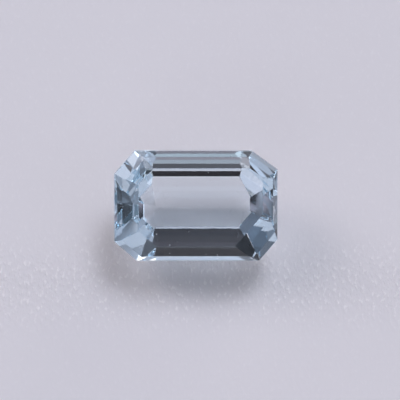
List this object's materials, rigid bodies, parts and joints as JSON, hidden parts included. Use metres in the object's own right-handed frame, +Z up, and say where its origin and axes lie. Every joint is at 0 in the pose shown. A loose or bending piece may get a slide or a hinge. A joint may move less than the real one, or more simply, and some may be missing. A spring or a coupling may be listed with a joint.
{
  "type": "cut aquamarine gemstone",
  "caption": "Loose pale blue aquamarine in an emerald cut: stepped octagon with a flat table, thin girdle and keeled pavilion, lying on the long facet beside its keel.",
  "frame": {"origin": "on the surface that the stone lies on, under the middle of its bounding box", "axes": "+X along the stone's length, +Z up, and the table leans towards -Y"},
  "size_m": [0.012, 0.0078, 0.006],
  "materials": {
    "clear_beryl": "polished flat facets, see-through pale blue beryl, refractive index 1.577"
  },
  "bodies": {
    "root": {"aquamarine": "clear_beryl"}
  },
  "joints": []
}
